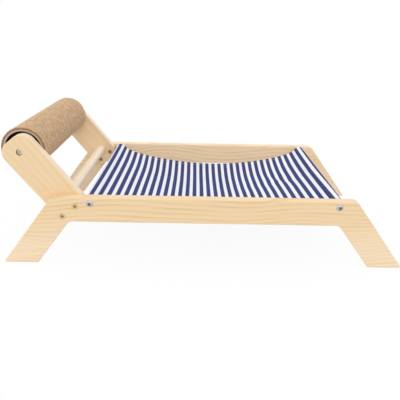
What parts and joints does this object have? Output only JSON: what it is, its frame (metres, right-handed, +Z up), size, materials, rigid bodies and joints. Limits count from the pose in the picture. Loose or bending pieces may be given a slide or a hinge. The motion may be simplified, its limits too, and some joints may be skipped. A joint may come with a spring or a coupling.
{
  "type": "cat hammock",
  "caption": "Low wooden pet bed: board side frames with splayed legs hold a striped cloth sling on rods, and arms at the head end carry a sisal scratching roller that turns.",
  "frame": {"origin": "on the floor, under the middle of the bed's box", "axes": "+X along the bed to the foot end, +Y to the right side seen from the foot end, +Z up"},
  "size_m": [0.596, 0.3384, 0.1988],
  "materials": {
    "pine_board": "sanded pine, clear satin",
    "dowel_wood": "sanded birch, unfinished",
    "striped_canvas": "cotton canvas, blue and white stripes",
    "kraft_board": "wound kraft board",
    "plywood": "plywood, stained black",
    "woven_sisal": "woven sisal mat",
    "zinc_steel": "bright zinc",
    "bronzed_steel": "bronze plated",
    "insert_metal": "dull"
  },
  "bodies": {
    "frame": {"left_side_frame": "pine_board", "right_side_frame": "pine_board", "left_head_arm": "pine_board", "right_head_arm": "pine_board", "arm_stretcher": "dowel_wood", "head_sling_rod": "dowel_wood", "foot_sling_rod": "dowel_wood", "sling_fabric": "striped_canvas", "roller_axle": "dowel_wood", "head_rod_bolts": "zinc_steel", "foot_rod_bolts": "zinc_steel", "left_arm_screws": "bronzed_steel", "right_arm_screws": "bronzed_steel", "axle_bolts": "zinc_steel", "head_rod_inserts": "insert_metal", "foot_rod_inserts": "insert_metal", "axle_inserts": "insert_metal", "left_arm_inserts": "insert_metal", "right_arm_inserts": "insert_metal"},
    "roller": {"roller_core_tube": "kraft_board", "roller_left_disc": "plywood", "roller_right_disc": "plywood", "sisal_wrap": "woven_sisal"}
  },
  "joints": [
    {"name": "roller_spin", "type": "hinge", "parent": "frame", "child": "roller", "pos_m": [-0.2639, 0, 0.16627], "axis": [0, 1, 0], "continuous": true}
  ]
}
